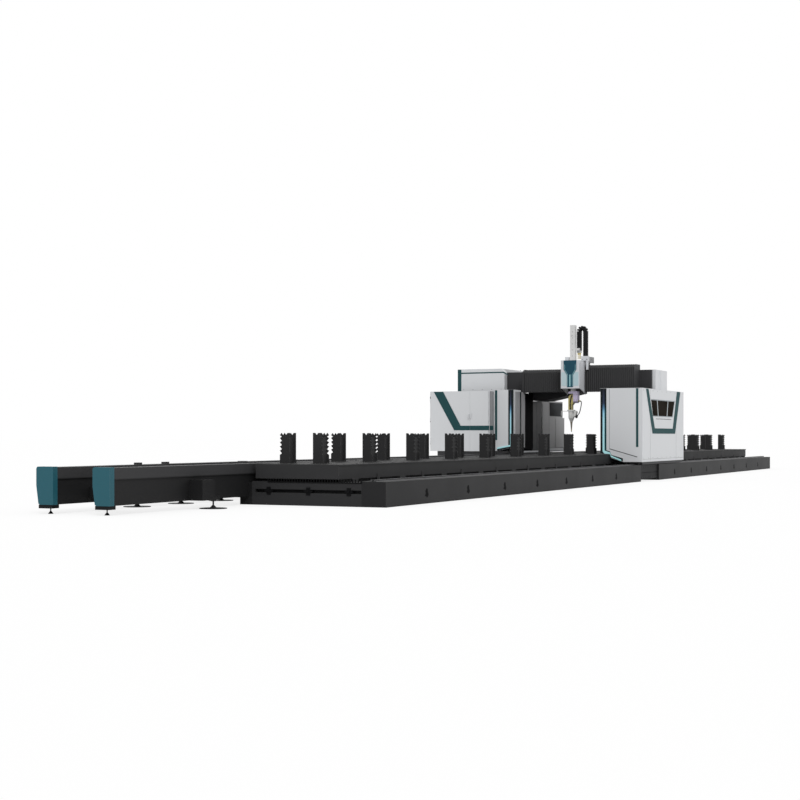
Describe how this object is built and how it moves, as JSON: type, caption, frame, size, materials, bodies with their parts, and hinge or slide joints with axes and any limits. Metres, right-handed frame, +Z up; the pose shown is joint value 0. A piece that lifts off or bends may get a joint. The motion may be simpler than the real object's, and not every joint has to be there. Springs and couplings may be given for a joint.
{
  "type": "gantry cutting machine",
  "caption": "Long ground-rail gantry that cuts structural steel: saw-topped supports on a deck, twin feed beams, a housed portal with cabinets, and a tilting cutting head.",
  "frame": {"origin": "middle of the overall box, at floor level", "axes": "+X along the rails from the feed end to the discharge end, +Y from the operator's side to the cabinet side, +Z up"},
  "size_m": [35.53, 5.865, 4.12],
  "materials": {
    "dark_structure": "satin textured paint",
    "end_comb_steel": "satin paint",
    "deck_paint": "satin textured paint",
    "post_steel": "matt paint",
    "rail_steel": "ground and oiled",
    "shoe_steel": "ground",
    "beam_paint": "satin paint",
    "teal_cap": "moulded, semi-gloss",
    "white_sheet": "powder coat",
    "teal_trim": "satin paint",
    "light_diffuser": "translucent diffuser",
    "window_frame_paint": "powder coat",
    "window_glass": "dark tinted",
    "control_paint": "powder coat",
    "service_paint": "powder coat",
    "bellows_cloth": "coated cloth, pleated",
    "machined_grey": "machined",
    "motor_black": "black",
    "chain_plastic": "matt black",
    "lilac_anodised": "anodised",
    "gold_anodised": "anodised",
    "head_grey": "anodised",
    "nozzle_metal": "turned"
  },
  "bodies": {
    "base": {"near_rail_bed_front": "dark_structure", "near_rail_bed_rear": "dark_structure", "far_rail_bed": "dark_structure", "rail_bridge": "dark_structure", "table_bed_front": "dark_structure", "table_bed_rear": "dark_structure", "end_comb": "end_comb_steel", "end_slot_clamps": "end_comb_steel", "work_deck_front": "deck_paint", "work_deck_rear": "deck_paint", "deck_clamps": "end_comb_steel", "support_posts_far": "post_steel", "support_posts_near": "post_steel", "guide_rails": "rail_steel", "gear_racks": "rail_steel", "feed_beam_near": "beam_paint", "feed_beam_far": "beam_paint", "end_cap_near": "teal_cap", "end_cap_far": "teal_cap", "levelling_feet": "shoe_steel", "foot_brackets": "shoe_steel", "cross_members": "dark_structure"},
    "gantry": {"near_truck": "dark_structure", "far_truck": "dark_structure", "bearing_shoes": "shoe_steel", "near_leg": "dark_structure", "far_leg": "dark_structure", "main_girder": "dark_structure", "near_housing": "white_sheet", "window_frame": "window_frame_paint", "window_panes": "window_glass", "housing_trims": "teal_trim", "light_strips": "light_diffuser", "far_cover": "white_sheet", "far_platform": "dark_structure", "cabinet_shell": "white_sheet", "control_cabinet": "control_paint", "laser_source": "control_paint", "power_boxes": "service_paint", "chiller": "service_paint", "condenser": "service_paint", "girder_end_covers": "white_sheet", "cross_rails": "rail_steel", "bellows_near": "bellows_cloth", "bellows_far": "bellows_cloth"},
    "outer_door": {"cabinet_door_outer": "white_sheet"},
    "inner_door": {"cabinet_door_inner": "white_sheet"},
    "back_door": {"housing_door": "white_sheet"},
    "near_gear": {"near_pinion": "rail_steel"},
    "far_gear": {"far_pinion": "rail_steel"},
    "carriage": {"carriage_saddle": "machined_grey", "cross_motor": "motor_black", "ram_cover": "white_sheet", "shield_plate": "teal_trim", "cable_chain": "chain_plastic"},
    "lift_ram": {"ram": "machined_grey"},
    "turret": {"head_arm": "lilac_anodised"},
    "torch": {"tilt_knuckle": "gold_anodised", "cutting_head": "head_grey", "nozzle": "nozzle_metal"}
  },
  "joints": [
    {"name": "gantry_travel", "type": "slide", "parent": "base", "child": "gantry", "axis": [1, 0, 0], "range_m": [-12.6, 12.2]},
    {"name": "near_pinion_spin", "type": "hinge", "parent": "gantry", "child": "near_gear", "pos_m": [3.785, -2.562, 0.435], "axis": [0, 0, 1], "range_deg": [-14500, 14500]},
    {"name": "far_pinion_spin", "type": "hinge", "parent": "gantry", "child": "far_gear", "pos_m": [3.785, 1.538, 0.435], "axis": [0, 0, 1], "range_deg": [-14500, 14500]},
    {"name": "carriage_cross", "type": "slide", "parent": "gantry", "child": "carriage", "axis": [0, 1, 0], "range_m": [-0.55, 0.95], "deforming": ["bellows_near", "bellows_far"]},
    {"name": "ram_lift", "type": "slide", "parent": "carriage", "child": "lift_ram", "axis": [0, 0, 1], "range_m": [-0.03, 0.35], "deforming": ["cable_chain"]},
    {"name": "head_rotate", "type": "hinge", "parent": "lift_ram", "child": "turret", "pos_m": [1.805, -0.8775, 2.3], "axis": [0, 0, 1], "range_deg": [-180, 180]},
    {"name": "head_tilt", "type": "hinge", "parent": "turret", "child": "torch", "pos_m": [1.805, -0.8775, 2.1], "axis": [0, 1, 0], "range_deg": [-45, 45]},
    {"name": "cabinet_outer_hinge", "type": "hinge", "parent": "gantry", "child": "outer_door", "pos_m": [0.9707, 2.9185, 1.57], "axis": [0, 0, -1], "range_deg": [0, 110]},
    {"name": "cabinet_inner_hinge", "type": "hinge", "parent": "gantry", "child": "inner_door", "pos_m": [0.9707, 1.2065, 1.57], "axis": [0, 0, 1], "range_deg": [0, 110]},
    {"name": "housing_door_hinge", "type": "hinge", "parent": "gantry", "child": "back_door", "pos_m": [5.4393, -2.7635, 1.49], "axis": [0, 0, -1], "range_deg": [0, 110]}
  ],
  "couplings": [
    {"joint": "near_pinion_spin", "follows": "gantry_travel", "rad_per_m": -20},
    {"joint": "far_pinion_spin", "follows": "gantry_travel", "rad_per_m": -20}
  ]
}
